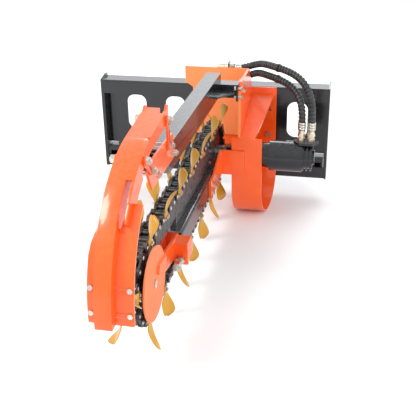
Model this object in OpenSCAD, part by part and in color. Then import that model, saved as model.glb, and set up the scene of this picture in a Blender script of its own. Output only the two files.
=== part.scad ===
// Chain trencher attachment for a skid-steer loader.
// X runs along the coupler frame, -Y points along the boom towards the nose, +Z is up.
// The origin is on the floor, under the middle of the frame's front face.

/* [Coupler frame] */
// Width of the coupler frame over its end plates
frame_w = 1160; // [1040:5:1400]
// Height of the coupler frame
frame_h = 464; // [440:2:560]
// Depth of the coupler frame, front face to rear edge
frame_d = 90; // [75:1:120]
// Height of the frame's bottom edge over the floor
frame_lift = 100; // [60:1:120]
// Thickness of the frame's face and lips
frame_t = 8; // [6:0.5:12]
// Thickness of the end plates
end_t = 10; // [8:0.5:16]
// Distance between the centres of the two lock pin slots
slot_gap = 1066; // [900:2:1070]
// Width of a lock pin slot
slot_w = 36; // [28:1:40]
// Length of a lock pin slot, across the frame
slot_len = 50; // [42:1:52]
// Width of a window in the frame's face
window_w = 100; // [70:1:120]
// Height of a window in the frame's face
window_h = 180; // [120:1:200]

/* [Chain] */
// Chain pitch, pin to pin
pitch = 50.8; // [42:0.2:62]
// Teeth on the drive sprocket and on the nose idler
teeth_n = 16; // [16:4:20]
// Pitches in the upper run, which is also the distance between the shafts
run_n = 24; // [20:2:26]
// Place of the chain's middle plane across the frame
chain_x = 60; // [50:1:66]
// Diameter of a chain roller
roller_d = 27; // [22:0.5:32]
// Diameter of a chain pin
pin_d = 12.6; // [10:0.2:15]
// Radial running clearance of a pin in its bush and of a bush in its roller
run_fit = 0.08; // [0.05:0.01:0.1]
// Wall of a bush
bush_t = 3.2; // [2:0.1:4]
// Width inside a link's inner plates
inner_w = 32; // [28:1:38]
// Thickness of a link plate
plate_t = 6; // [4:0.5:8]
// Height of a link plate
plate_h = 34; // [30:1:40]
// Gap between an inner plate and the outer plate beside it
plate_gap = 0.5; // [0.3:0.1:1]

/* [Digging teeth] */
// Thickness of a digging tooth
tooth_t = 7; // [5:0.5:9]
// Reach of a tooth beyond the edge of its link plate
tooth_reach = 82; // [70:1:100]
// Width of a wide cutter
tooth_w = 50; // [40:1:56]
// Bend radius of a wide cutter's blade
wide_bend = 82; // [80:1:140]
// Bend radius of a narrow cutter's blade
narrow_bend = 190; // [150:5:400]
// Thread diameter of a tooth bolt
tooth_bolt_d = 8; // [6:1:9]

/* [Drive head] */
// Gap between the tooth tips and the spoil shield behind them
shield_gap = 38; // [8:1:60]
// Height of the drive shaft over the floor
axis_z = 322; // [315:1:390]
// Diameter of the drive shaft
shaft_d = 38; // [32:1:46]
// Diameter of the hydraulic motor's body
motor_d = 142; // [120:1:172]
// Length of the hydraulic motor's body
motor_len = 190; // [150:1:230]
// Thickness of the head's side plate
side_t = 12; // [10:0.5:15]
// Width of the skid band at its front
band_w = 140; // [116:1:168]
// Extra width of the skid band at its rear
band_flare = 32; // [0:1:40]
// Thickness of the skid band
band_t = 8; // [6:0.5:12]
// Outside radius of the skid band's round bottom
band_r = 172; // [160:1:190]
// Thickness of the back plate
back_t = 10; // [8:0.5:14]
// Thickness of the spoil shield
shield_t = 8; // [6:0.5:10]

/* [Boom] */
// Width of the boom tube
boom_w = 90; // [84:1:108]
// Height of the boom tube
boom_h = 92; // [76:1:100]
// Wall of the boom tube
boom_t = 6; // [5:0.5:8]
// Drop of the boom tube's middle under the shaft line
boom_drop = 54; // [44:1:56]
// Length from the nose shaft to the open end of the boom tube
boom_short = 396; // [360:1:440]
// Width of a wear rail
rail_w = 24; // [18:1:26]
// Gap between a wear rail and the rollers
rail_gap = 5; // [4:0.5:8]
// Radius of the idler's cheek disc
cheek_r = 128; // [100:1:134]
// Diameter of the idler axle
axle_d = 30; // [24:1:36]

/* [Crumber] */
// Width of the support beam
beam_w = 66; // [56:1:80]
// Height of the support beam
beam_h = 100; // [80:1:120]
// Wall of the support beam
beam_t = 5; // [4:0.5:8]
// Gap between the tooth tips and the support beam's underside
beam_gap = 41; // [15:1:60]
// Length from the nose shaft back to the support beam's end
beam_short = 258; // [230:1:300]
// Pin distance of a crumber link
link_len = 94; // [80:1:110]
// Forward lean of the rear link bars
link_lean = 6; // [0:1:15]
// Length of the crumber's front link bars between their pins
front_len = 75; // [65:1:90]
// Forward lean of the front link bars
front_lean = 45; // [35:1:55]
// Play of the front link bars on their upper pin, beyond a running fit
front_play = 1.2; // [1.1:0.1:2]
// Distance between the two links' lower pins
link_gap = 225; // [190:1:240]
// Thickness of a crumber link's bars
link_t = 8; // [6:0.5:9]
// Pin diameter of the crumber links
link_pin_d = 16; // [13:1:19]
// Thickness of the bracket's and the crumber arm's plates
arm_t = 8; // [6:0.5:10]
// Outer bend radius of the crumber arm
arm_r = 440; // [430:2:480]
// Width of the crumber shoe
shoe_w = 142; // [120:1:170]
// Thickness of the crumber shoe
shoe_t = 8; // [6:0.5:10]

/* [Hydraulics] */
// Outside diameter of a hose with its guard
hose_d = 34; // [28:1:40]
// Distance between the two hoses
hose_gap = 44; // [42:1:52]

/* [Hidden] */
$fn = 64;
clear = 0.3;
cut = 1;

orange = [0.93, 0.29, 0.07];
black = [0.09, 0.09, 0.10];
slate = [0.24, 0.26, 0.29];
yellow = [0.86, 0.60, 0.08];
zinc = [0.72, 0.73, 0.72];
steel = [0.45, 0.45, 0.46];
rubber = [0.06, 0.06, 0.06];

// Chain: both wheels have the same size and stand in phase, so the runs move as one piece each.
wheel_r = pitch / (2 * sin(180 / teeth_n));
step_angle = 360 / teeth_n;
wrap_n = teeth_n / 2;
plate_r = plate_h / 2;
inner_x = inner_w / 2;
outer_x = inner_x + plate_t + plate_gap;
link_x = outer_x + plate_t;
pin_proud = 3;
pin_x = link_x + pin_proud;
roller_r = roller_d / 2;
bush_bore_r = pin_d / 2 + run_fit;
bush_r = bush_bore_r + bush_t;
wheel_t = inner_w - 4;
tip_over = 8;
flank_gap = 0.5;
edge_reach = wheel_r + plate_r;
chain_reach = edge_reach + tooth_reach;

// Drive head and boom places
shield_y = -back_t - shield_t;
head_y = shield_y - shield_gap - chain_reach;
nose_y = head_y - run_n * pitch;
frame_top = frame_lift + frame_h;
band_x = chain_x + 100;
side_x = band_x + 28;
side_right = side_x + side_t;
housing_x = band_x + band_w - 4;
band_y = -back_t - band_r;
band_front = band_y - band_r;
band_top = frame_lift + 318;
boom_z = axis_z - boom_drop;
boom_top = boom_z + boom_h / 2;
boom_low = boom_z - boom_h / 2;
boom_root = head_y - edge_reach - 10;
boom_end = nose_y + boom_short;
boom_side = chain_x + boom_w / 2;
rail_end = nose_y + wheel_r + tip_over + 20;

// Crumber places
beam_z = axis_z + chain_reach + beam_gap;
beam_top = beam_z + beam_h;
beam_root = head_y + 34;
beam_end = nose_y + beam_short;
bracket_x = beam_w / 2;
rear_low = [beam_end - 6, beam_top + 20];
front_low = [rear_low[0] - link_gap, rear_low[1]];
rear_up = rear_low + link_len * [-sin(link_lean), cos(link_lean)];
front_up = front_low + front_len * [-sin(front_lean), cos(front_lean)];
link_eye = link_pin_d / 2 + 7;
arm_x0 = bracket_x;
arm_out = bracket_x + arm_t;
link_x0 = arm_out + clear;
arm_c = [rear_low[0] - 144, rear_low[1] + 98 - arm_r];
shoe_r = arm_r - 32;
shoe_low = -2;
shoe_high = 36;

// Hose route from the left motor port over to the couplers behind the shield
port_x = housing_x + 176;
port_z = axis_z + motor_d / 2 + 8;
hose_sides = 12;
hose_route = [
  [0, 0, 52], [0, 0, 96], [-2, 8, 132], [-9, 22, 166], [-24, 42, 196], [-48, 66, 220],
  [-80, 94, 236], [-118, 126, 244], [-158, 164, 246], [-196, 206, 244], [-226, 250, 238],
  [-254, 284, 228], [-290, 299, 214]
];
hose_b_route = [
  [0, 0, 52], [0, 0, 100], [-2, 6, 150], [-10, 16, 194], [-28, 32, 234], [-58, 54, 266],
  [-98, 82, 286], [-144, 116, 295], [-188, 156, 296], [-226, 202, 292], [-256, 246, 285],
  [-288, 282, 274], [-328, 299, 260]
];

// Places of the quick couplers on the frame's ledge
coupler_x = chain_x + 50;
coupler_y = frame_t + 6.8;
coupler_low = frame_top + 42;
coupler_high = coupler_low + hose_gap;

function arc(c, r, a0, a1, n) = [for (i = [0:n]) c + r * [cos(a0 + (a1 - a0) * i / n), sin(a0 + (a1 - a0) * i / n)]];
function polar(c, r, a) = c + r * [cos(a), sin(a)];

// Centre of chain pin i: the head wheel first, then the lower run, the nose and the upper run.
function chain_pin(i) =
  i <= wrap_n ? polar([head_y, axis_z], wheel_r, 90 - i * step_angle)
  : i <= wrap_n + run_n ? [head_y - (i - wrap_n) * pitch, axis_z - wheel_r]
  : i <= 2 * wrap_n + run_n ? polar([nose_y, axis_z], wheel_r, -90 - (i - wrap_n - run_n) * step_angle)
  : [nose_y + (i - 2 * wrap_n - run_n) * pitch, axis_z + wheel_r];
function link_angle(i) = let (d = chain_pin(i + 1) - chain_pin(i)) atan2(d[1], d[0]);

head_links = [0:wrap_n - 1];
lower_links = [wrap_n:wrap_n + run_n - 1];
nose_links = [wrap_n + run_n:2 * wrap_n + run_n - 1];
upper_links = [2 * wrap_n + run_n:2 * wrap_n + 2 * run_n - 1];

// An outline in Y and Z, made t thick from x upwards
module slab_x(x, t, points) {
  translate([x, 0, 0]) rotate([90, 0, 90]) linear_extrude(t) polygon(points);
}

// An outline in X and Z, made t thick from y backwards
module slab_y(y, t, points) {
  translate([0, y + t, 0]) rotate([90, 0, 0]) linear_extrude(t) polygon(points);
}

module rod_x(d, x0, x1, place) {
  translate([x0, place[0], place[1]]) rotate([0, 90, 0]) cylinder(d = d, h = x1 - x0);
}

module rod_y(d, y0, y1, x, z) {
  translate([x, y1, z]) rotate([90, 0, 0]) cylinder(d = d, h = y1 - y0);
}

module box(low, high) {
  translate(low) cube(high - low);
}

// A hexagon bolt or nut of a thread size, with its seat at the origin and its shank down -Z
module hex_bolt(d, shank) {
  cylinder(d = d * 1.8, h = d * 0.65, $fn = 6);
  translate([0, 0, -shank]) cylinder(d = d, h = shank);
}

module hex_nut(d) {
  difference() {
    cylinder(d = d * 1.8, h = d * 0.8, $fn = 6);
    translate([0, 0, -cut]) cylinder(d = d, h = d + 2 * cut);
  }
}

// ---- Coupler frame ----

window_x = [-392, -190, 426];
window_low = frame_top - 72 - window_h;
window_round = 38;
bay_in = frame_w / 2 - 76;
bay_out = frame_w / 2 - end_t - 6;
bay_low = frame_lift + 56;
bay_high = frame_top - 70;

module round_window(x) {
  for (z = [window_low + window_round, window_low + window_h - window_round])
    for (s = [-1, 1])
      translate([x + s * (window_w / 2 - window_round), 0, z]) rotate([90, 0, 0])
        cylinder(r = window_round, h = 4 * frame_t, center = true);
  translate([x - window_w / 2, -2 * frame_t, window_low + window_round])
    cube([window_w, 4 * frame_t, window_h - 2 * window_round]);
  translate([x - window_w / 2 + window_round, -2 * frame_t, window_low])
    cube([window_w - 2 * window_round, 4 * frame_t, window_h]);
}

module coupler_face() {
  color(black) difference() {
    box([-frame_w / 2 + end_t, 0, frame_lift], [frame_w / 2 - end_t, frame_t, frame_top - frame_t]);
    for (x = window_x) round_window(x);
    for (s = [-1, 1])
      translate([s * (bay_in + bay_out) / 2, frame_t / 2, (bay_low + bay_high) / 2])
        cube([bay_out - bay_in, 2 * frame_t, bay_high - bay_low], center = true);
  }
}

// Ledge and the sloped hook under which the loader's plate is caught
module coupler_top_rail() {
  hook = 34;
  color(black) slab_x(-frame_w / 2 + end_t, frame_w - 2 * end_t, [
    [0, frame_top - frame_t], [0, frame_top], [frame_d, frame_top], [frame_d + hook, frame_top - hook],
    [frame_d + hook - 0.7 * frame_t, frame_top - hook - 0.7 * frame_t],
    [frame_d - 0.4 * frame_t, frame_top - frame_t]
  ]);
}

// Bottom lip with the two slots for the loader's lock pins
module coupler_bottom_lip() {
  color(black) difference() {
    box([-frame_w / 2 + end_t, frame_t, frame_lift], [frame_w / 2 - end_t, frame_d, frame_lift + frame_t]);
    for (s = [-1, 1]) slot_cut(s * slot_gap / 2);
  }
}

module slot_cut(x) {
  for (e = [-1, 1])
    translate([x + e * (slot_len - slot_w) / 2, (frame_t + frame_d) / 2, frame_lift - cut])
      cylinder(d = slot_w, h = frame_t + 2 * cut);
  translate([x - (slot_len - slot_w) / 2, (frame_t + frame_d - slot_w) / 2, frame_lift - cut])
    cube([slot_len - slot_w, slot_w, frame_t + 2 * cut]);
}

module coupler_end_plates() {
  peak = 13;
  foot = 10;
  color(black) for (x = [-frame_w / 2, frame_w / 2 - end_t])
    slab_x(x, end_t, [
      [0, frame_lift], [0, frame_top], [frame_d - 24, frame_top + peak], [frame_d, frame_top + peak],
      [frame_d, frame_lift + foot], [frame_d - 12, frame_lift - foot], [12, frame_lift - foot]
    ]);
}

// Upright ribs beside the end bays, with the bays' rear panels
module coupler_ribs() {
  panel_y = 0.55 * frame_d;
  color(slate) for (s = [-1, 1]) {
    slab_x(s > 0 ? bay_in - frame_t : -bay_in, frame_t, concat(
      [[frame_t, frame_lift + frame_t], [frame_t, frame_top - frame_t]],
      [[frame_d - 10, frame_top - frame_t], [frame_d - 10, frame_lift + frame_t]]
    ));
    x0 = s > 0 ? bay_in : -frame_w / 2 + end_t;
    x1 = s > 0 ? frame_w / 2 - end_t : -bay_in;
    box([x0, panel_y, bay_low + 60], [x1, panel_y + frame_t, frame_top - frame_t]);
  }
}

// Guide boxes of the loader's lock pins, standing on the bottom lip behind the slots
module lock_pockets() {
  pocket_w = slot_len + 8;
  pocket_h = 96;
  wall = 6;
  gap_h = 22;
  color(slate) for (s = [-1, 1])
    difference() {
      translate([s * slot_gap / 2 - pocket_w / 2, frame_t, frame_lift + frame_t])
        cube([pocket_w, frame_d - frame_t - 12, pocket_h]);
      translate([s * slot_gap / 2 - slot_len / 2, frame_t + wall, frame_lift])
        cube([slot_len, frame_d - frame_t - 12 - 2 * wall, pocket_h + frame_t - wall]);
      for (z = [14, 14 + gap_h + 14])
        translate([s * slot_gap / 2 - slot_len / 2 + wall, frame_t - cut, frame_lift + frame_t + z])
          cube([slot_len - 2 * wall, wall + 2 * cut, gap_h]);
    }
}

// ---- Drive head ----

back_left = chain_x - 120;
back_right = band_x + band_w + 22;
back_low = band_y > -200 ? frame_lift + 70 : frame_lift;
shield_low = frame_top - 250;
back_bolts = [[back_right - 35, frame_top - 114], [back_right - 38, frame_top - 239],
  [back_left + 30, shield_low - 40], [back_left + 30, back_low + 40]];

module back_plate() {
  color(orange) difference() {
    box([back_left, -back_t, back_low], [back_right, 0, frame_top - 1]);
    for (b = back_bolts) rod_y(16 + 2 * clear, -back_t - cut, cut, b[0], b[1]);
  }
}

module spoil_shield() {
  left = chain_x - 190;
  color(orange) slab_y(shield_y, shield_t, [
    [left, frame_top + 91], [side_x, frame_top + 91], [side_x, shield_low], [left + 50, shield_low],
    [left + 36, frame_top - 10], [left, frame_top + 14]
  ]);
}

module head_side_plate() {
  top = axis_z + 350;
  color(orange) difference() {
    union() {
      slab_x(side_x, side_t, [
        [-back_t, band_r + 60], [-back_t, frame_top + 20], [-back_t - 80, top], [band_front + 44, top],
        [band_front + 10, top - 34], [band_front + band_t, band_top], [band_front + band_t, band_r],
        [-back_t - band_t, band_r], [-back_t - band_t, band_r + 60]
      ]);
      rod_x(2 * (band_r - band_t), side_x, side_right, [band_y, band_r], $fn = 128);
    }
    rod_x(shaft_d + 34, side_x - cut, side_right + cut, [head_y, axis_z]);
    for (b = arm_bolt_places) rod_x(12 + 2 * clear, side_x - cut, side_right + cut, b);
    for (a = [45:90:315]) rod_x(12 + 2 * clear, side_x - cut, side_right + cut, polar([head_y, axis_z], housing_bolt_r, a));
  }
}

housing_bolt_r = 47;
housing_r = 58;

// Sloping plate from the top of the skid band back up to the back plate
module head_brace() {
  brace_w = 112;
  front_w = 64;
  rise = frame_top - 30;
  color(orange) intersection() {
    slab_x(side_right, brace_w, [
      [-back_t, rise], [-back_t, rise - 12], [band_front + band_t + 8, band_top - 12],
      [band_front + band_t, band_top - 12], [band_front + band_t, band_top]
    ]);
    translate([0, 0, band_top - 2 * brace_w]) linear_extrude(rise) polygon([
      [side_right, 0], [side_right + brace_w, 0], [side_right + brace_w, -back_t - 6],
      [side_right + front_w, band_front], [side_right, band_front]
    ]);
  }
  color(orange) slab_y(-back_t - 60, 6, [
    [side_right, rise - 12 - 60], [side_right, rise - 70], [side_right + brace_w, rise - 70],
    [side_right + brace_w, rise - 110], [side_right, rise - 150]
  ]);
}

// U-shaped strip on which the head rests and slides, wider at the rear than at the front
module skid_band() {
  color(orange) intersection() {
    translate([band_x - cut, 0, 0]) rotate([90, 0, 90]) linear_extrude(band_w + band_flare + 2 * cut) {
      translate([band_y, band_r]) difference() {
        circle(r = band_r, $fn = 128);
        circle(r = band_r - band_t, $fn = 128);
        translate([-2 * band_r, 0]) square(4 * band_r);
      }
      translate([band_front, band_r]) square([band_t, band_top - band_r]);
      translate([-back_t - band_t, band_r]) square([band_t, 60]);
    }
    translate([0, 0, -cut]) linear_extrude(band_top + 2 * cut) polygon([
      [band_x, band_front - cut], [band_x + band_w, band_front - cut],
      [band_x + band_w + band_flare, 0], [band_x, 0]
    ]);
  }
}

// Bracket that carries the boom tube's right side on the skid band's front
bracket_bolts_yz = [[boom_root - 60, boom_z + 12], [boom_root - 60, boom_z - 26], [boom_root - 130, boom_z + 12],
  [boom_root - 130, boom_z - 26]];

module boom_bracket() {
  t = 10;
  wing_y = band_front - t;
  color(orange) {
    difference() {
      slab_x(boom_side, t, [
        [wing_y + t, boom_top + 46], [wing_y, boom_top + 46], [boom_root - 90, boom_top - 4], [boom_root - 170, boom_top - 10],
        [boom_root - 165, boom_low + 2], [boom_root - 110, boom_low + 2], [wing_y + t, boom_z - 26]
      ]);
      for (b = bracket_bolts_yz) rod_x(14 + 2 * clear, boom_side - cut, boom_side + t + cut, b);
    }
    box([boom_side + t, wing_y, boom_z - 26], [band_x + 60, wing_y + t, boom_top + 46]);
  }
}

module shaft_housing() {
  bore = shaft_d + 2 * 0.06;
  seat_x = side_x - 62;
  color(black) difference() {
    union() {
      rod_x(2 * housing_r, side_right, side_right + 14, [head_y, axis_z]);
      rod_x(2 * housing_r - 48, side_right, housing_x - 12, [head_y, axis_z]);
      rod_x(2 * housing_r, housing_x - 12, housing_x, [head_y, axis_z]);
      rod_x(shaft_d + 33, seat_x, side_right, [head_y, axis_z]);
    }
    rod_x(bore, seat_x - cut, housing_x + cut, [head_y, axis_z]);
    for (a = [45:90:315])
      rod_x(12 + 2 * clear, side_right - cut, side_right + 14 + cut, polar([head_y, axis_z], housing_bolt_r, a));
  }
}

module drive_shaft() {
  color(steel) union() {
    rod_x(shaft_d, chain_x - wheel_t / 2 - 22, housing_x - 1, [head_y, axis_z]);
    rod_x(shaft_d + 26, chain_x + wheel_t / 2, chain_x + wheel_t / 2 + 44, [head_y, axis_z]);
  }
}

// Toothed wheel outline: a disc with a tooth between each pair of roller seats
module wheel_outline() {
  seat_r = roller_r + 0.35;
  flank = pitch - roller_r - flank_gap;
  difference() {
    union() {
      circle(r = wheel_r * cos(step_angle / 2) - 2, $fn = 96);
      for (i = [0:teeth_n - 1])
        intersection() {
          translate(polar([0, 0], wheel_r, i * step_angle)) circle(r = flank);
          translate(polar([0, 0], wheel_r, (i + 1) * step_angle)) circle(r = flank);
          circle(r = wheel_r + tip_over, $fn = 96);
        }
    }
    for (i = [0:teeth_n - 1]) translate(polar([0, 0], wheel_r, i * step_angle)) circle(r = seat_r);
  }
}

module chain_wheel(y, bore, hub_d, hub_w) {
  translate([chain_x, y, axis_z]) rotate([90, 0, 90]) difference() {
    union() {
      translate([0, 0, -wheel_t / 2]) linear_extrude(wheel_t) wheel_outline();
      translate([0, 0, -hub_w / 2]) cylinder(d = hub_d, h = hub_w);
    }
    translate([0, 0, -hub_w]) cylinder(d = bore, h = 2 * hub_w);
    for (a = [0:60:300])
      rotate([0, 0, a]) translate([wheel_r * 0.56, 0, -hub_w]) cylinder(d = 32, h = 2 * hub_w);
  }
}

module drive_sprocket() {
  color(slate) chain_wheel(head_y, shaft_d, shaft_d + 34, wheel_t);
}

module motor_body() {
  at = [head_y, axis_z];
  x0 = housing_x;
  color(black) union() {
    rod_x(2 * housing_r, x0, x0 + 16, at);
    rod_x(motor_d - 22, x0 + 16, x0 + 34, at);
    rod_x(motor_d, x0 + 34, x0 + motor_len - 4, at);
    box([port_x - 24, head_y - 26, axis_z + motor_d / 2 - 26], [x0 + motor_len - 4, head_y + 26, port_z - 12]);
    translate([0, 0, port_z - 12]) linear_extrude(12) polygon([
      [port_x - 34, head_y - 8], [port_x - 8, head_y - 36], [port_x + hose_gap + 8, head_y - 36],
      [port_x + hose_gap + 34, head_y - 8], [port_x + hose_gap + 34, head_y + 8], [port_x + hose_gap + 8, head_y + 36],
      [port_x - 8, head_y + 36], [port_x - 34, head_y + 8]
    ]);
  }
}

// Ribbed valve end of the motor
module motor_valve_end() {
  at = [head_y, axis_z];
  x0 = housing_x + motor_len - 4;
  rib = 9;
  color(slate) union() {
    rod_x(motor_d - 34, x0, x0 + 5 * rib, at);
    for (i = [0:2:4]) rod_x(motor_d - 14, x0 + i * rib, x0 + (i + 1) * rib - 2, at);
    rod_x(motor_d - 70, x0 + 5 * rib, x0 + 6 * rib, at);
  }
}

// ---- Hoses and couplers ----

hose_at = [[port_x, head_y, port_z], [port_x + hose_gap, head_y, port_z]];
fitting_h = 52;

module hose_fittings() {
  color(zinc) for (p = hose_at) translate(p) {
    cylinder(d = 34, h = 14, $fn = 6);
    translate([0, 0, 14]) cylinder(d = 27, h = 8);
    translate([0, 0, 22]) cylinder(d = 36, h = 12, $fn = 6);
    translate([0, 0, 34]) cylinder(d = 30, h = fitting_h - 34);
  }
}

// A tube swept along points, with rings square to the path
function unit(v) = v / norm(v);
function path_dir(p, i) = i == 0 ? [0, 0, 1]
  : i == len(p) - 1 ? [-1, 0, 0] : unit(unit(p[i + 1] - p[i]) + unit(p[i] - p[i - 1]));
function ring(p, i, r) =
  let (d = path_dir(p, i), s = unit(cross([0.35, 1, 0], d)), t = cross(d, s))
  [for (k = [0:hose_sides - 1]) p[i] + r * (cos(360 * k / hose_sides) * s + sin(360 * k / hose_sides) * t)];
// A smooth curve through the route's points
function spline(p, i, u) =
  let (n = len(p), a = p[max(i - 1, 0)], b = p[i], c = p[i + 1], d = p[min(i + 2, n - 1)])
  0.5 * (2 * b + (c - a) * u + (2 * a - 5 * b + 4 * c - d) * u * u + (3 * b - a - 3 * c + d) * u * u * u);
function smooth(p, m) = concat([for (i = [0:len(p) - 2]) for (k = [0:m - 1]) spline(p, i, k / m)], [p[len(p) - 1]]);

module swept_tube(route, d) {
  p = smooth(route, 2);
  n = len(p);
  s = hose_sides;
  rings = [for (i = [0:n - 1]) each ring(p, i, d / 2)];
  walls = [for (i = [0:n - 2]) for (k = [0:s - 1])
    [i * s + k, i * s + (k + 1) % s, (i + 1) * s + (k + 1) % s, (i + 1) * s + k]];
  ends = [[for (k = [s - 1:-1:0]) k], [for (k = [0:s - 1]) (n - 1) * s + k]];
  polyhedron(rings, concat(walls, ends), convexity = 6);
}

// A route from its port to the coupler at height z
hose_run_in = 32;
function placed(route, p, z) = concat(
  [for (q = route) q + p], [[coupler_x + hose_run_in, coupler_y, z], [coupler_x, coupler_y, z]]
);

module hose_left() {
  color(rubber) swept_tube(placed(hose_route, hose_at[0], coupler_low), hose_d);
}

module hose_right() {
  color(rubber) swept_tube(placed(hose_b_route, hose_at[1], coupler_high), hose_d);
}

// Quick couplers in which the hoses end, parked behind the shield
module quick_couplers() {
  color(zinc) for (z = [coupler_low, coupler_high])
    translate([coupler_x, coupler_y, z]) rotate([0, -90, 0]) {
      cylinder(d = 38, h = 16, $fn = 6);
      translate([0, 0, 16]) cylinder(d = 34, h = 34);
      translate([0, 0, 50]) cylinder(d = 39, h = 22);
      translate([0, 0, 72]) cylinder(d = 28, h = 12);
    }
}

// Upright on the frame's ledge with a collar round each coupler
module coupler_holder() {
  t = 6;
  x1 = coupler_x - 22;
  foot = 21;
  color(black) difference() {
    union() {
      box([x1 - t, coupler_y - foot, frame_top], [x1, coupler_y + foot, coupler_high + 28]);
      box([x1 - 46, coupler_y - foot, frame_top], [x1 - t, coupler_y + foot, frame_top + t]);
    }
    for (z = [coupler_low, coupler_high])
      translate([x1 - t - cut, coupler_y, z]) rotate([0, 90, 0]) cylinder(d = 34 + 2 * clear, h = t + 2 * cut);
  }
}

// ---- Boom and nose ----

module boom_tube() {
  half = boom_w / 2;
  round_r = 14;
  color(black) difference() {
    translate([chain_x, boom_root, boom_z]) rotate([90, 0, 0]) linear_extrude(boom_root - boom_end) difference() {
      union() {
        square([boom_w, boom_h - 2 * round_r], center = true);
        square([boom_w - 2 * round_r, boom_h], center = true);
        for (sx = [-1, 1]) for (sz = [-1, 1])
          translate([sx * (half - round_r), sz * (boom_h / 2 - round_r)]) circle(r = round_r);
      }
      square([boom_w - 2 * boom_t, boom_h - 2 * boom_t], center = true);
    }
    for (b = bracket_bolts_yz) rod_x(14 + 2 * clear, boom_side - boom_t - cut, boom_side + cut, b);
  }
}

// Rails that carry the rollers of the upper run and guide those of the lower run
module wear_rails() {
  top = axis_z + wheel_r - roller_r - rail_gap;
  low = axis_z - wheel_r + roller_r + rail_gap;
  color(slate) {
    box([chain_x - rail_w / 2, boom_end + 40, boom_top], [chain_x + rail_w / 2, boom_root - 6, top]);
    box([chain_x - rail_w / 2, rail_end, boom_top + 40], [chain_x + rail_w / 2, boom_end + 40, top]);
    box([chain_x - rail_w / 2, boom_end + 40, low], [chain_x + rail_w / 2, boom_root - 6, boom_low]);
  }
}

fork_x0 = wheel_t / 2 + 8;
fork_t = 10;
fork_half = boom_h / 2 - boom_t - 1;
screw_x = boom_w / 2 + 14;
screw_z = boom_z - 24;
ear_y = boom_end - 84;

// Fork that slides in the boom tube and carries the idler axle
module idler_fork() {
  shank = 150;
  color(orange) difference() {
    union() {
      for (x = [-fork_x0 - fork_t, fork_x0])
        slab_x(chain_x + x, fork_t, concat(
          [[boom_end + shank, boom_z - fork_half], [boom_end + shank, boom_z + fork_half],
           [boom_end - 30, boom_z + fork_half]],
          arc([nose_y, axis_z], 40, 60, 250, 24), [[boom_end - 20, boom_z - fork_half]]
        ));
      box([chain_x - fork_x0, boom_end + 20, boom_z - fork_half],
          [chain_x + fork_x0, boom_end + shank, boom_z + fork_half]);
      box([chain_x + fork_x0 + fork_t, ear_y, screw_z - 22], [chain_x + screw_x + 26, ear_y + 14, boom_z + fork_half]);
      box([chain_x + fork_x0 + fork_t, ear_y + 14, boom_z + fork_half - 8],
          [chain_x + screw_x + 26, boom_end - 14, boom_z + fork_half]);
      box([chain_x + screw_x + 18, ear_y + 14, screw_z - 8],
          [chain_x + screw_x + 26, boom_end - 14, boom_z + fork_half - 8]);
    }
    rod_x(axle_d, chain_x - 60, chain_x + 60, [nose_y, axis_z]);
    rod_y(20 + 2 * clear, ear_y - cut, ear_y + 14 + cut, chain_x + screw_x, screw_z);
  }
}

cheek_x = link_x + pin_proud + 12;
cheek_t = 6;

// Disc that guards the idler's outer side, with its lug and hub boss
module idler_cheek() {
  color(orange) difference() {
    union() {
      rod_x(2 * cheek_r, chain_x + cheek_x, chain_x + cheek_x + cheek_t, [nose_y, axis_z]);
      rod_x(54, chain_x + fork_x0 + fork_t, chain_x + cheek_x, [nose_y, axis_z]);
      slab_x(chain_x + cheek_x + cheek_t, 9, [
        [nose_y + cheek_r - 12, axis_z + 44], [nose_y + 34, axis_z + 52], [nose_y + 20, axis_z + 30],
        [nose_y + 30, axis_z + 18], [nose_y + cheek_r - 10, axis_z + 4]
      ]);
    }
    rod_x(axle_d, chain_x - cheek_x, chain_x + 2 * cheek_x, [nose_y, axis_z]);
  }
}

module idler_axle() {
  color(zinc) union() {
    rod_x(axle_d, chain_x - fork_x0 - fork_t - 4, chain_x + cheek_x + cheek_t + 3, [nose_y, axis_z]);
    rod_x(axle_d + 14, chain_x - fork_x0 - fork_t - 12, chain_x - fork_x0 - fork_t, [nose_y, axis_z]);
  }
}

module idler_wheel() {
  color(slate) chain_wheel(nose_y, axle_d + 2 * 0.06, axle_d + 36, 2 * fork_x0 - 2 * clear);
}

// Screw that pushes the fork out of the tube and keeps the chain tight
module tension_screw() {
  color(zinc) {
    rod_y(20, ear_y - 54, boom_end + 30, chain_x + screw_x, screw_z);
    translate([chain_x + screw_x, ear_y - 54, screw_z]) rotate([90, 0, 0]) cylinder(d = 34, h = 13, $fn = 6);
  }
}

module tension_nuts() {
  color(zinc) difference() {
    union() {
      box([boom_side, boom_end, screw_z - 20], [chain_x + screw_x + 18, boom_end + 34, screw_z + 20]);
      for (y = [ear_y, ear_y + 14 + 16])
        translate([chain_x + screw_x, y, screw_z]) rotate([90, 0, 0]) cylinder(d = 34, h = 16, $fn = 6);
    }
    rod_y(20, ear_y - 60, boom_end + 60, chain_x + screw_x, screw_z);
  }
}

// ---- Chain ----

module link_plate(x, at, angle) {
  translate([chain_x + x, at[0], at[1]]) rotate([90, 0, 90]) rotate([0, 0, angle]) linear_extrude(plate_t) children();
}

module plate_outline(bore) {
  waist = plate_r - 4;
  difference() {
    union() {
      circle(r = plate_r);
      translate([pitch, 0]) circle(r = plate_r);
      translate([0, -waist]) square([pitch, 2 * waist]);
    }
    circle(r = bore);
    translate([pitch, 0]) circle(r = bore);
  }
}

module outer_outline() {
  difference() {
    union() {
      plate_outline(pin_d / 2);
      translate([pitch / 2 - tab_w / 2, 0]) square([tab_w, plate_r]);
    }
    for (s = [-1, 1]) translate([pitch / 2 + s * bolt_off, bolt_h]) circle(d = tooth_bolt_d);
  }
}

function is_outer(i) = i % 2 == 0;

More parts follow.
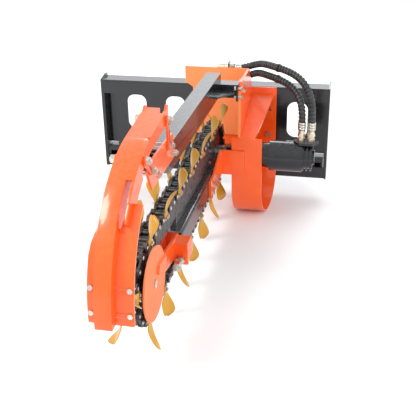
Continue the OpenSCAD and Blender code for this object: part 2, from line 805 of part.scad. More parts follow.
module chain_plates(links) {
  color(black) for (i = links) {
    at = chain_pin(i);
    angle = link_angle(i);
    if (is_outer(i)) {
      cut_x = cutter_side(i) > 0 ? outer_x : -link_x;
      link_plate(cut_x, at, angle) outer_outline();
      link_plate(-link_x + outer_x - cut_x, at, angle) plate_outline(pin_d / 2);
    } else {
      for (x = [-inner_x - plate_t, inner_x]) link_plate(x, at, angle) plate_outline(bush_r);
    }
  }
}

// Pins of the outer links, and the bushes and rollers of the inner links
module chain_rollers(links) {
  color(steel) for (i = links)
    for (j = [i, i + 1])
      if (is_outer(i)) {
        rod_x(pin_d, chain_x - pin_x, chain_x + pin_x, chain_pin(j));
      } else {
        tube_x(bush_r, bush_bore_r, inner_x + plate_t, chain_pin(j));
        tube_x(roller_r, bush_r + run_fit, inner_x - 0.6, chain_pin(j));
      }
}

module tube_x(r_out, r_in, half, at) {
  difference() {
    rod_x(2 * r_out, chain_x - half, chain_x + half, at);
    rod_x(2 * r_in, chain_x - half - cut, chain_x + half + cut, at);
  }
}

tab_w = min(tooth_w, pitch - pin_d) - 6;
tab_low = -8;
bolt_off = tab_w / 2 - tooth_bolt_d * 0.9 - 1;
bolt_h = 3;

// A cutter in its own frame: X away from the chain's middle, Y along the chain, Z outwards.
// Its foot is flat on the link, and its blade bends away from the chain.
module cutter(bend, w, outline) {
  low = plate_r - 4;
  foot = plate_r + 8;
  tip = plate_r + tooth_reach;
  difference() {
    union() {
      translate([0, -tab_w / 2, tab_low]) cube([tooth_t, tab_w, low - tab_low]);
      intersection() {
        union() {
          translate([0, -w, low]) cube([tooth_t, 2 * w, foot - low]);
          translate([bend, w, foot]) rotate([90, 0, 0]) difference() {
            cylinder(r = bend, h = 2 * w, $fn = 128);
            translate([0, 0, -cut]) cylinder(r = bend - tooth_t, h = 2 * w + 2 * cut, $fn = 128);
            translate([-2 * bend, -2 * bend, -cut]) cube([4 * bend, 2 * bend, 2 * w + 2 * cut]);
          }
        }
        slab_x(-cut, bend, outline);
      }
    }
    for (s = [-1, 1])
      translate([-cut, s * bolt_off, bolt_h]) rotate([0, 90, 0])
        cylinder(d = tooth_bolt_d + 2 * clear, h = tooth_t + 2 * cut);
  }
}

// Broad cup with a slanted edge
module wide_cutter() {
  low = plate_r - 4;
  tip = plate_r + tooth_reach;
  w = tooth_w / 2;
  cutter(wide_bend, tooth_w, [
    [-tab_w / 2, low], [tab_w / 2, low], [tab_w / 2 + 1, low + 18], [w, low + 40], [w, tip - 22], [w - 9, tip - 12],
    [-w + 12, tip], [-w - 2, tip - 5], [-w, tip - 26], [-tab_w / 2 - 1, low + 22]
  ]);
}

// Narrow finger that comes to a point
module narrow_cutter() {
  low = plate_r - 4;
  tip = plate_r + tooth_reach + 6;
  w = tooth_w / 2;
  cutter(narrow_bend, tooth_w, [
    [-tab_w / 2, low], [tab_w / 2, low], [tab_w / 2, low + 10], [w * 0.62, low + 34], [w * 0.6, tip - 34],
    [w * 0.1, tip], [-w * 0.25, tip - 2], [-w * 0.5, tip - 32], [-w * 0.6, low + 34], [-tab_w / 2, low + 12]
  ]);
}

// Places children at the middle of an outer link, on its right side or its left side
module on_link(i, side) {
  a = chain_pin(i);
  b = chain_pin(i + 1);
  m = (a + b) / 2;
  translate([chain_x, m[0], m[1]]) rotate([link_angle(i), 0, 0])
    if (side > 0) translate([link_x, 0, 0]) children();
    else mirror([1, 0, 0]) translate([link_x, 0, 0]) children();
}

// Cutters stand on the outer links in turn, one on the right and the next on the left.
function has_cutter(i) = is_outer(i);
function cutter_side(i) = floor(i / 2) % 2 == 0 ? 1 : -1;
function cutter_wide(i) = floor(i / 4) % 3 != 1;

module chain_teeth(links) {
  color(yellow) for (i = links)
    if (has_cutter(i)) on_link(i, cutter_side(i)) {
      if (cutter_wide(i)) wide_cutter();
      else narrow_cutter();
    }
}

module chain_bolts(links) {
  color(zinc) for (i = links)
    if (has_cutter(i))
      for (s = [-1, 1])
        on_link(i, cutter_side(i)) translate([tooth_t, s * bolt_off, bolt_h]) rotate([0, 90, 0])
          hex_bolt(tooth_bolt_d, tooth_t + plate_t);
}

module head_chain_plates() { chain_plates(head_links); }
module head_chain_rollers() { chain_rollers(head_links); }
module head_teeth() { chain_teeth(head_links); }
module head_tooth_bolts() { chain_bolts(head_links); }
module nose_chain_plates() { chain_plates(nose_links); }
module nose_chain_rollers() { chain_rollers(nose_links); }
module nose_teeth() { chain_teeth(nose_links); }
module nose_tooth_bolts() { chain_bolts(nose_links); }
module upper_chain_plates() { chain_plates(upper_links); }
module upper_chain_rollers() { chain_rollers(upper_links); }
module upper_teeth() { chain_teeth(upper_links); }
module upper_tooth_bolts() { chain_bolts(upper_links); }
module lower_chain_plates() { chain_plates(lower_links); }
module lower_chain_rollers() { chain_rollers(lower_links); }
module lower_teeth() { chain_teeth(lower_links); }
module lower_tooth_bolts() { chain_bolts(lower_links); }

// ---- Crumber and its support ----

arm_low = beam_z + 8;
arm_high = beam_z + 68;
flange_t = 8;
arm_front = beam_root - 75;
arm_bolt_places = [for (y = [arm_front - 13, beam_root + 7]) for (z = [arm_low + 12, arm_high - 12]) [y, z]];

// Cross arm from the head's side plate to the support beam, with its gusset and flange
module beam_arm() {
  right = side_x - flange_t;
  left = chain_x + beam_w / 2;
  color(black) difference() {
    union() {
      box([left, arm_front, arm_low], [right, beam_root - 5, arm_high]);
      box([right, arm_front - 26, arm_low - 8], [side_x, beam_root + 20, arm_high + 8]);
      translate([0, 0, (arm_low + arm_high) / 2 - 4]) linear_extrude(8) polygon([
        [left, arm_front], [left, arm_front - 110], [left + 20, arm_front - 110], [right, arm_front - 20], [right, arm_front]
      ]);
    }
    for (b = arm_bolt_places) rod_x(12 + 2 * clear, right - cut, side_x + cut, b);
  }
}

module crumber_beam() {
  half = beam_w / 2;
  slope = 34;
  color(slate) difference() {
    slab_x(chain_x - half, beam_w, [
      [beam_root, beam_z], [beam_root, beam_top], [beam_end, beam_top], [beam_end + slope, beam_z]
    ]);
    slab_x(chain_x - half + beam_t, beam_w - 2 * beam_t, [
      [beam_root - beam_t, beam_z + beam_t], [beam_root - beam_t, beam_top - beam_t],
      [beam_end - cut, beam_top - beam_t], [beam_end + slope - cut, beam_z + beam_t]
    ]);
    for (b = beam_bolt_places) rod_x(14 + 2 * clear, chain_x - half - cut, chain_x + half + cut, b);
  }
}

beam_bolt_places = [[beam_end + 40, beam_z + 72], [beam_end + 82, beam_z + 60]];
stay_place = [front_low[0] + 90, rear_low[1] - 50];

// Two plates clamped on the beam's end, which carry the crumber's links
module crumber_bracket() {
  color(orange) difference() {
    for (x = [-bracket_x - arm_t, bracket_x])
      slab_x(chain_x + x, arm_t, [
        [beam_end + 100, beam_top - 54], [beam_end + 64, beam_top + 40], [rear_low[0] - 20, beam_top + 42],
        [front_low[0] - 12, beam_top + 42], [front_low[0] - 26, beam_top + 26], [front_low[0] + 20, beam_top - 54]
      ]);
    for (b = concat(beam_bolt_places, [stay_place]))
      rod_x(14 + 2 * clear, chain_x - bracket_x - arm_t - cut, chain_x + bracket_x + arm_t + cut, b);
    for (b = [rear_low, front_low])
      rod_x(link_pin_d, chain_x - bracket_x - arm_t - cut, chain_x + bracket_x + arm_t + cut, b);
  }
}

module cross_bolt(d, half, at) {
  rod_x(d, chain_x - half - d, chain_x + half + d, at);
  translate([chain_x + half, at[0], at[1]]) rotate([0, 90, 0]) cylinder(d = 1.8 * d, h = 0.65 * d, $fn = 6);
  translate([chain_x - half, at[0], at[1]]) rotate([0, -90, 0]) cylinder(d = 1.8 * d, h = 0.8 * d, $fn = 6);
}

module bracket_bolts() {
  color(zinc) for (b = concat(beam_bolt_places, [stay_place])) cross_bolt(14, bracket_x + arm_t, b);
}

// Pins pressed in the bracket, on which the links turn
module lower_pins() {
  color(zinc) for (b = [rear_low, front_low]) cross_bolt(link_pin_d, link_x0 + link_t + clear, b);
}

// Pins pressed in the crumber arm, on which the links carry it
module upper_pins() {
  color(zinc) for (b = [rear_up, front_up]) cross_bolt(link_pin_d, link_x0 + link_t + clear, b);
}

module link_pair(low, up, play = 0) {
  reach = norm(up - low);
  d = up - low;
  angle = atan2(d[1], d[0]);
  color(orange) for (x = [-link_x0 - link_t, link_x0])
    translate([chain_x + x, low[0], low[1]]) rotate([90, 0, 90]) rotate([0, 0, angle]) linear_extrude(link_t) difference() {
      union() {
        circle(r = link_eye);
        translate([reach, 0]) circle(r = link_eye);
        translate([0, 3 - link_eye]) square([reach, 2 * link_eye - 6]);
      }
      circle(r = link_pin_d / 2 + run_fit);
      translate([reach, 0]) circle(r = link_pin_d / 2 + run_fit + play);
    }
}

module rear_link() { link_pair(rear_low, rear_up); }
module front_link() { link_pair(front_low, front_up, front_play); }

// Part of a ring round the crumber's bend centre, between two angles
module bend_part(r_out, r_in, a0, a1) {
  far = 2 * arm_r;
  mid = (a0 + a1) / 2;
  translate(arm_c) intersection() {
    difference() {
      circle(r = r_out, $fn = 128);
      circle(r = r_in, $fn = 128);
    }
    polygon([[0, 0], polar([0, 0], far, a0), polar([0, 0], far, mid), polar([0, 0], far, a1)]);
  }
}

module bend_slab(x0, x1) {
  translate([x0, 0, 0]) rotate([90, 0, 90]) linear_extrude(x1 - x0) children();
}

arm_deep = 66;
arm_slim = 42;
deep_start = 114;
neck = 180 - shoe_high - 1;
slot_end = neck - 6;
bend_start = 97;
strip_right = chain_x + 13;
straight_end = rear_up[0] + 34;

function on_bend(r, a) = polar(arm_c, r, a);

// Straight rear part of an arm plate, between two distances from the bend's centre
module straight_part(r_out, r_in) {
  start = on_bend(r_out, bend_start);
  low = on_bend(r_in, bend_start);
  slope = tan(bend_start - 90);
  polygon([
    start, low, [straight_end, low[1] + (straight_end - low[0]) * slope],
    [straight_end, start[1] + (straight_end - start[0]) * slope]
  ]);
}

module pin_ear(p) {
  translate(p) circle(r = link_pin_d / 2 + 12);
}

// Curved plates with a strip over the left pair, ending on the front of the shoe
module crumber_arm() {
  left_x = chain_x - arm_out;
  right_x = chain_x + arm_x0;
  rear_cut = rear_up[0] - 6;
  color(orange) difference() {
    union() {
      for (x = [left_x, strip_right - arm_t]) bend_slab(x, x + arm_t) {
        bend_part(arm_r, shoe_r, neck - 1, 180 - shoe_low);
        bend_part(arm_r, arm_r - arm_slim, bend_start, deep_start + 1);
        bend_part(arm_r, arm_r - arm_deep, deep_start, neck);
        straight_part(arm_r, arm_r - arm_slim);
        if (x == left_x) {
          pin_ear(rear_up);
          pin_ear(front_up);
        }
      }
      bend_slab(right_x, right_x + arm_t) {
        bend_part(arm_r - 6, shoe_r, slot_end - 6, neck - 3);
        bend_part(arm_r, arm_r - arm_slim, bend_start, deep_start + 1);
        bend_part(arm_r, arm_r - arm_deep, deep_start, slot_end - 5);
        straight_part(arm_r + 4, arm_r - arm_slim);
        pin_ear(rear_up);
        pin_ear(front_up);
      }
      bend_slab(left_x, strip_right) {
        bend_part(arm_r, arm_r - arm_t, bend_start, 180 - shoe_low);
        straight_part(arm_r, arm_r - arm_t);
      }
      bend_slab(strip_right, right_x) intersection() {
        union() {
          bend_part(arm_r, arm_r - arm_t, bend_start, 122);
          straight_part(arm_r, arm_r - arm_t);
        }
        translate([rear_cut - 2 * arm_r, 0]) square([2 * arm_r, 4 * arm_r]);
      }
      // Pointed ends of the two outer plates
      for (e = [[left_x, 34], [right_x, 40]])
        slab_x(e[0], arm_t, [
          [straight_end - 64, rear_up[1] - 4], [straight_end, rear_up[1] - 10], [straight_end + 6, rear_up[1] + e[1]],
          [straight_end - 10, rear_up[1] + e[1] + 4]
        ]);
    }
    for (b = [rear_up, front_up]) rod_x(link_pin_d, left_x - cut, right_x + arm_t + cut, b);
  }
}

shoe_bolt_angles = [166, 177];
shoe_bolt_d = 10;
shoe_bolt_x = shoe_w / 2 - 1.1 * shoe_bolt_d;
liner_t = 8;
nut_lift = 0.15;

module shoe_holes() {
  for (a = shoe_bolt_angles) for (s = [-1, 1]) {
    p = polar(arm_c, shoe_r, a);
    translate([chain_x + s * shoe_bolt_x, p[0], p[1]]) rotate([a - 90, 0, 0])
      cylinder(d = shoe_bolt_d + 2 * clear, h = 8 * shoe_t, center = true);
  }
}

module crumber_shoe() {
  w = shoe_w / 2;
  left_x = chain_x - arm_out;
  low = arm_c[1] - 60;
  mid = arm_c[1] + shoe_r * sin(shoe_high + 2);
  high = arm_c[1] + shoe_r * sin(shoe_high + 12);
  color(orange) difference() {
    intersection() {
      bend_slab(chain_x - w, chain_x + w) bend_part(shoe_r, shoe_r - shoe_t, 166 - shoe_high, 180 - shoe_low);
      slab_y(arm_c[0] - 2 * arm_r, 2 * arm_r, [
        [chain_x - w, low], [chain_x - w, mid - 66], [chain_x - w + 4, mid - 34], [chain_x - w + 16, mid],
        [left_x + 8, mid + 42], [left_x + 20, high + 10], [strip_right - 4, high + 10], [strip_right - 1, mid],
        [strip_right + 3, mid], [chain_x + arm_x0 + 1, high + 22], [chain_x + w - 6, high + 12],
        [chain_x + w, high + 4], [chain_x + w, low]
      ]);
    }
    shoe_holes();
    // Room for the deep part of the arm plates
    for (x = [left_x, strip_right - arm_t]) bend_slab(x - clear, x + arm_t + clear)
      bend_part(arm_r, arm_r - arm_deep - clear, bend_start, neck);
    bend_slab(chain_x + arm_x0 - clear, chain_x + arm_out + clear)
      bend_part(arm_r, arm_r - arm_deep - clear, bend_start, slot_end - 5);
  }
}

module shoe_liner() {
  color(black) difference() {
    bend_slab(chain_x - shoe_w / 2 + 6, chain_x + shoe_w / 2 - 6)
      bend_part(shoe_r - shoe_t, shoe_r - shoe_t - liner_t, 190 - shoe_high, 181 - shoe_low);
    shoe_holes();
  }
}

module shoe_bolts() {
  color(zinc) for (a = shoe_bolt_angles) for (s = [-1, 1]) {
    p = polar(arm_c, shoe_r, a);
    q = polar(arm_c, shoe_r - shoe_t - liner_t - nut_lift, a);
    translate([chain_x + s * shoe_bolt_x, p[0], p[1]]) rotate([a - 90, 0, 0])
      hex_bolt(shoe_bolt_d, shoe_t + liner_t + 12);
    translate([chain_x + s * shoe_bolt_x, q[0], q[1]]) rotate([a + 90, 0, 0])
      cylinder(d = 1.8 * shoe_bolt_d, h = 0.8 * shoe_bolt_d, $fn = 6);
  }
}

// ---- Fasteners of the head ----

module head_bolts() {
  color(zinc) {
    for (b = back_bolts) translate([b[0], -back_t, b[1]]) rotate([90, 0, 0]) hex_bolt(16, back_t);
    for (b = bracket_bolts_yz)
      translate([boom_side + 10, b[0], b[1]]) rotate([0, 90, 0]) hex_bolt(14, 10 + boom_t);
    for (b = arm_bolt_places) {
      translate([side_right, b[0], b[1]]) rotate([0, 90, 0]) hex_bolt(12, side_t + flange_t + 10);
      translate([side_x - flange_t, b[0], b[1]]) rotate([0, -90, 0]) cylinder(d = 21, h = 9, $fn = 6);
    }
    for (a = [45:90:315]) {
      p = polar([head_y, axis_z], housing_bolt_r, a);
      translate([side_right + 14, p[0], p[1]]) rotate([0, 90, 0]) hex_bolt(12, 14 + side_t);
    }
  }
}

coupler_face();
coupler_top_rail();
coupler_bottom_lip();
coupler_end_plates();
coupler_ribs();
lock_pockets();
back_plate();
spoil_shield();
head_side_plate();
head_brace();
skid_band();
boom_bracket();
shaft_housing();
motor_body();
motor_valve_end();
hose_fittings();
hose_left();
hose_right();
quick_couplers();
coupler_holder();
head_bolts();
drive_shaft();
drive_sprocket();
head_chain_plates();
head_chain_rollers();
head_teeth();
head_tooth_bolts();
boom_tube();
wear_rails();
idler_fork();
idler_cheek();
idler_axle();
tension_screw();
tension_nuts();
idler_wheel();
nose_chain_plates();
nose_chain_rollers();
nose_teeth();
nose_tooth_bolts();
upper_chain_plates();
upper_chain_rollers();
upper_teeth();
upper_tooth_bolts();
lower_chain_plates();
lower_chain_rollers();
lower_teeth();
lower_tooth_bolts();
beam_arm();
crumber_beam();
crumber_bracket();
bracket_bolts();
lower_pins();
upper_pins();
rear_link();
front_link();
crumber_arm();
crumber_shoe();
shoe_liner();
shoe_bolts();
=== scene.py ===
import math

import bmesh
import bpy
from mathutils import Matrix, Vector


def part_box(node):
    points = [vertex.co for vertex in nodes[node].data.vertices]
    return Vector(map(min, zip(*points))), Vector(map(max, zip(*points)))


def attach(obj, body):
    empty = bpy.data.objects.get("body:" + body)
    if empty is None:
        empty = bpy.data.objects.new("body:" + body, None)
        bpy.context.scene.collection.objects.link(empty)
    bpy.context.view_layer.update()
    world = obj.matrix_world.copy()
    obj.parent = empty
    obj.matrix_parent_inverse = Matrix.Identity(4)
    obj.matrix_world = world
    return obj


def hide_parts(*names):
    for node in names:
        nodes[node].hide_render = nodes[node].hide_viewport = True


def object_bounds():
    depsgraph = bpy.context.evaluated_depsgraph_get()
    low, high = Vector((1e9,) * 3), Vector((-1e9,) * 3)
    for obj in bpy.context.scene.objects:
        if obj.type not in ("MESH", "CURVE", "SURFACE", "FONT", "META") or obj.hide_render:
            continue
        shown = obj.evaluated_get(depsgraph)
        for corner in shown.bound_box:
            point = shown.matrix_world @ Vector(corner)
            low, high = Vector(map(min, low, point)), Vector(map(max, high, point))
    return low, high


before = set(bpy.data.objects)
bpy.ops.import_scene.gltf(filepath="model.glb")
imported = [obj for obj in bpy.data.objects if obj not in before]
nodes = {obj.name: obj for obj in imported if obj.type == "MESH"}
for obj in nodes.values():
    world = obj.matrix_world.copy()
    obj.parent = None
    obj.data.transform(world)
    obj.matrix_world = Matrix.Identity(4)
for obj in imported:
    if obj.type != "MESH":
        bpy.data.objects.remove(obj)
cad_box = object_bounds()
scene = bpy.context.scene
scene.view_settings.view_transform = "Standard"

# ---- Camera ----
# It stands in front of the coupler's right half and looks down along the boom,
# turned and rolled a little.
eye = Vector((0.72517, -3.55233, 1.60187))
yaw, pitch, roll = 0.20942, 0.44157, -0.01493
ahead = Vector((-math.sin(yaw) * math.cos(pitch), math.cos(yaw) * math.cos(pitch), -math.sin(pitch)))
side = Vector((math.cos(yaw), math.sin(yaw), 0))
over = side.cross(ahead)
rolled_side = side * math.cos(roll) + over * math.sin(roll)
rolled_over = over * math.cos(roll) - side * math.sin(roll)
camera_data = bpy.data.cameras.new("camera")
camera_data.sensor_width = 36
camera_data.lens = 65.17
camera = bpy.data.objects.new("camera", camera_data)
turn = Matrix((rolled_side, rolled_over, -ahead)).transposed()
camera.matrix_world = Matrix.Translation(eye) @ turn.to_4x4()
scene.collection.objects.link(camera)
scene.camera = camera


# ---- Hydraulic hoses ----
# Two rubber hoses run from the motor's ports over the head to the quick couplers behind the shield.
# Each wears a spiral guard of black plastic strip, has crimped ends, and is strapped near its highest point.
def smooth_route(route, steps):
    points = [Vector(p) for p in route]
    last = len(points) - 1
    smooth = []
    for i in range(last):
        a, b, c, d = points[max(i - 1, 0)], points[i], points[i + 1], points[min(i + 2, last)]
        for k in range(steps):
            u = k / steps
            smooth.append(0.5 * (2 * b + (c - a) * u + (2 * a - 5 * b + 4 * c - d) * u * u
                                 + (3 * b - a - 3 * c + d) * u * u * u))
    return smooth + [points[last]]


def new_object(name, mesh, material, body):
    piece = bpy.data.objects.new(name, mesh)
    scene.collection.objects.link(piece)
    piece.data.materials.append(material)
    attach(piece, body)
    return piece


def add_node(tree, kind, values=(), **settings):
    node = tree.nodes.new(kind)
    for key, value in settings.items():
        setattr(node, key, value)
    for socket, value in dict(values).items():
        node.inputs[socket].default_value = value
    return node


def start_material(name, **sockets):
    material = bpy.data.materials.new(name)
    material.use_nodes = True
    shader = material.node_tree.nodes["Principled BSDF"]
    for socket, value in sockets.items():
        shader.inputs[socket.replace("_", " ")].default_value = value
    return material, material.node_tree, shader


def object_noise(tree, scale, detail=4.0, stretch=(1, 1, 1)):
    place = add_node(tree, "ShaderNodeTexCoord")
    mapping = add_node(tree, "ShaderNodeMapping", {"Scale": stretch})
    noise = add_node(tree, "ShaderNodeTexNoise", {"Scale": scale, "Detail": detail})
    tree.links.new(place.outputs["Object"], mapping.inputs["Vector"])
    tree.links.new(mapping.outputs["Vector"], noise.inputs["Vector"])
    return noise.outputs["Fac"]


def spread(tree, value, low, high, to_low=0.0, to_high=1.0):
    node = add_node(tree, "ShaderNodeMapRange",
                    {"From Min": low, "From Max": high, "To Min": to_low, "To Max": to_high})
    tree.links.new(value, node.inputs["Value"])
    return node.outputs["Result"]


def mixed(tree, factor, first, second):
    node = add_node(tree, "ShaderNodeMix", data_type="RGBA")
    if isinstance(factor, float):
        node.inputs[0].default_value = factor
    else:
        tree.links.new(factor, node.inputs[0])
    for socket, value in ((node.inputs[6], first), (node.inputs[7], second)):
        if isinstance(value, tuple):
            socket.default_value = (*value, 1)
        else:
            tree.links.new(value, socket)
    return node.outputs[2]


def bumped(tree, shader, height, strength, distance):
    node = add_node(tree, "ShaderNodeBump", {"Strength": strength, "Distance": distance})
    tree.links.new(height, node.inputs["Height"])
    tree.links.new(node.outputs["Normal"], shader.inputs["Normal"])


rubber, tree, shader = start_material("hose_rubber", Roughness=0.42, Specular_IOR_Level=0.5)
grain = object_noise(tree, 90)
tree.links.new(mixed(tree, spread(tree, grain, 0.35, 0.75), (0.012, 0.012, 0.013), (0.035, 0.034, 0.033)),
               shader.inputs["Base Color"])
bumped(tree, shader, grain, 0.25, 0.0006)

guard_plastic, tree, shader = start_material("hose_guard_plastic", Roughness=0.36)
scuffs = object_noise(tree, 40, 6)
tree.links.new(mixed(tree, spread(tree, scuffs, 0.4, 0.8), (0.018, 0.018, 0.020), (0.06, 0.06, 0.058)),
               shader.inputs["Base Color"])
tree.links.new(spread(tree, scuffs, 0.3, 0.8, 0.28, 0.5), shader.inputs["Roughness"])

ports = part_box("hose_fittings")
port_z = ports[0][2]
left_port = Vector((0.472, (ports[0][1] + ports[1][1]) / 2, port_z))
hose_gap = 0.044
hose_radius = 0.017
hose_core = 0.0135
core_sides = 20
route_steps = 12
ring_hint = Vector((0.35, 1, 0))
left_route = [
    (0, 0, 52), (0, 0, 96), (-2, 8, 132), (-9, 22, 166), (-24, 42, 196), (-48, 66, 220),
    (-80, 94, 236), (-118, 126, 244), (-158, 164, 246), (-196, 206, 244), (-226, 250, 238),
    (-254, 284, 228), (-290, 299, 214), (-330, 300, 205), (-362, 300, 205),
]
right_route = [
    (0, 0, 52), (0, 0, 100), (-2, 6, 150), (-10, 16, 194), (-28, 32, 234), (-58, 54, 266),
    (-98, 82, 286), (-144, 116, 295), (-188, 156, 296), (-226, 202, 292), (-256, 246, 285),
    (-288, 282, 274), (-328, 299, 260), (-372, 300, 249), (-406, 300, 249),
]


def sweep(points, outline):
    """A closed tube mesh along points; outline lists its (side, up) offsets."""
    rings = []
    work = bmesh.new()
    for i, point in enumerate(points):
        before = points[max(i - 1, 0)]
        after = points[min(i + 1, len(points) - 1)]
        along = (after - before).normalized()
        across = ring_hint.cross(along).normalized()
        up = along.cross(across)
        rings.append([work.verts.new(point + across * s + up * u) for s, u in outline])
    count = len(rings[0])
    for first, second in zip(rings, rings[1:]):
        for k in range(count):
            work.faces.new((first[k], first[(k + 1) % count], second[(k + 1) % count], second[k]))
    work.faces.new(rings[0][::-1])
    work.faces.new(rings[-1])
    mesh = bpy.data.meshes.new("sweep")
    work.normal_update()
    work.to_mesh(mesh)
    work.free()
    for face in mesh.polygons:
        face.use_smooth = True
    return mesh


def circle(radius, count):
    return [(radius * math.cos(2 * math.pi * k / count), radius * math.sin(2 * math.pi * k / count))
            for k in range(count)]


def evenly(points, step):
    """The same path again, with points about one step apart."""
    lengths = [0.0]
    for a, b in zip(points, points[1:]):
        lengths.append(lengths[-1] + (b - a).length)
    count = max(2, round(lengths[-1] / step))
    out = []
    j = 0
    for i in range(count + 1):
        want = lengths[-1] * i / count
        while j < len(points) - 2 and lengths[j + 1] < want:
            j += 1
        share = (want - lengths[j]) / max(lengths[j + 1] - lengths[j], 1e-9)
        out.append(points[j].lerp(points[j + 1], min(max(share, 0), 1)))
    return out


def closed_mesh(work, name, smooth=True):
    """Turns a finished bmesh into a mesh whose faces all look outwards."""
    mesh = bpy.data.meshes.new(name)
    bmesh.ops.recalc_face_normals(work, faces=work.faces)
    work.to_mesh(mesh)
    work.free()
    for face in mesh.polygons:
        face.use_smooth = smooth
    return mesh


hoses = {}
guard_pitch = 0.017
guard_sides = 18
strip_half = 0.0058
strip_round = 0.0009
strip_sunk = 0.0003
strip_flat = strip_half * 0.55
core_step = 0.008
for name, route, shift in (("left", left_route, 0), ("right", right_route, hose_gap)):
    start = left_port + Vector((shift, 0, 0))
    path = [start + Vector(p) / 1000 for p in smooth_route(route, route_steps)]
    hoses[name] = path
    core_mesh = sweep(evenly(path, core_step), circle(hose_core, core_sides))
    core = new_object("hose_core_" + name, core_mesh, rubber, "frame")
    # The guard is a flat strip wound round the hose with a narrow gap between its turns.
    fine = evenly(path, guard_pitch / guard_sides)
    work = bmesh.new()
    rows = []
    for i, point in enumerate(fine):
        along = (fine[min(i + 1, len(fine) - 1)] - fine[max(i - 1, 0)]).normalized()
        across = ring_hint.cross(along).normalized()
        up = along.cross(across)
        angle = 2 * math.pi * i / guard_sides
        out = across * math.cos(angle) + up * math.sin(angle)
        rows.append([work.verts.new(point + out * r + along * s) for r, s in (
            (hose_core - strip_sunk, -strip_half), (hose_radius - strip_round, -strip_half),
            (hose_radius, -strip_flat), (hose_radius, strip_flat),
            (hose_radius - strip_round, strip_half), (hose_core - strip_sunk, strip_half))])
    for a, b in zip(rows, rows[1:]):
        for k in range(6):
            work.faces.new((a[k], a[(k + 1) % 6], b[(k + 1) % 6], b[k]))
    work.faces.new(rows[0][::-1])
    work.faces.new(rows[-1])
    guard = new_object("hose_guard_" + name, closed_mesh(work, "guard"), guard_plastic, "frame")
    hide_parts("hose_" + name)


def band_round(name, point, along, radius, width, material):
    """A flat strap round a hose: a ring across the direction along."""
    across = Vector((1, 0, 0))
    up = along.cross(across).normalized()
    across = up.cross(along).normalized()
    work = bmesh.new()
    rings = []
    for k in range(band_sides):
        angle = 2 * math.pi * k / band_sides
        rim = []
        for grow, shift in band_outline:
            outer = radius + band_thick * grow
            reach = across * outer * math.cos(angle) + up * outer * math.sin(angle)
            rim.append(work.verts.new(point + reach + along * width / 2 * shift))
        rings.append(rim)
    for k in range(band_sides):
        a, b = rings[k], rings[(k + 1) % band_sides]
        for j in range(6):
            work.faces.new((a[j], a[(j + 1) % 6], b[(j + 1) % 6], b[j]))
    piece = new_object(name, closed_mesh(work, name), material, "frame")
    return piece


band_sides = 40
band_thick = 0.0016
band_outline = ((0, -1), (1, -1), (1.25, -0.4), (1.25, 0.4), (1, 1), (0, 1))
fine_step = 0.004
crimp_radius, crimp_width = 0.0168, 0.0105
tie_radius, tie_width = 0.0175, 0.014
crimp_steel, tree, shader = start_material("crimp_steel", Metallic=1.0, Roughness=0.3,
                                           Base_Color=(0.62, 0.60, 0.52, 1))
for name in hoses:
    route = evenly(hoses[name], fine_step)
    for end, sign in ((0, 1), (len(route) - 1, -1)):
        # Each hose end sits in a crimped ferrule with three rings.
        for k, offset in enumerate((2, 5, 8)):
            at = route[end + sign * offset]
            along = (route[end + sign * (offset + 1)] - route[end + sign * (offset - 1)]).normalized()
            band_round("crimp_%s_%d_%d" % (name, min(end, 1), k), at, along, crimp_radius, crimp_width,
                       crimp_steel)
left_points = evenly(hoses["left"], fine_step)
half_way = len(left_points) // 2
tie_place = left_points[half_way]
nearest = min(evenly(hoses["right"], fine_step), key=lambda p: (p - tie_place).length)
tie_along = (left_points[half_way + 1] - tie_place).normalized()
for k, point in enumerate((tie_place, nearest)):
    band_round("hose_tie_%d" % k, point, tie_along, tie_radius, tie_width, guard_plastic)

# ---- Floor and studio light ----
# A plain pale floor and four large soft lamps, one of them low behind the part so that upper faces shine.
floor_mesh = bpy.data.meshes.new("floor")
reach = 30
below = 0.0005
corners = [(-reach, -reach, 0), (reach, -reach, 0), (reach, reach, 0), (-reach, reach, 0)]
floor_mesh.from_pydata(corners, [], [(0, 1, 2, 3)])
floor = bpy.data.objects.new("floor", floor_mesh)
scene.collection.objects.link(floor)
floor_paint, tree, shader = start_material("floor_paint", Roughness=0.75, Base_Color=(0.93, 0.93, 0.93, 1))
floor.data.materials.append(floor_paint)
floor.location.z = cad_box[0][2] - below

world = bpy.data.worlds.new("studio")
world.use_nodes = True
world.node_tree.nodes["Background"].inputs["Color"].default_value = (0.97, 0.98, 1.0, 1)
world.node_tree.nodes["Background"].inputs["Strength"].default_value = 1.0
scene.world = world


def lamp(name, place, aim, size, power, color=(1, 1, 1)):
    data = bpy.data.lights.new(name, "AREA")
    data.shape = "RECTANGLE"
    data.size, data.size_y = size
    data.energy = power
    data.color = color
    light = bpy.data.objects.new(name, data)
    light.location = place
    light.rotation_euler = (Vector(aim) - Vector(place)).to_track_quat("-Z", "Y").to_euler()
    scene.collection.objects.link(light)


lamp("key", (-2.6, -3.2, 4.2), (0, -0.6, 0.3), (1.6, 1.6), 150, (1, 0.98, 0.95))
lamp("fill", (3.6, -2.6, 2.6), (0, -0.6, 0.3), (2.6, 2.0), 60)
lamp("back", (0.6, 3.6, 3.4), (0, -0.4, 0.5), (3.4, 1.6), 90)
lamp("behind", (-0.4, 4.6, 2.7), (0, -0.6, 0.4), (4.5, 1.8), 22, (0.95, 0.97, 1))


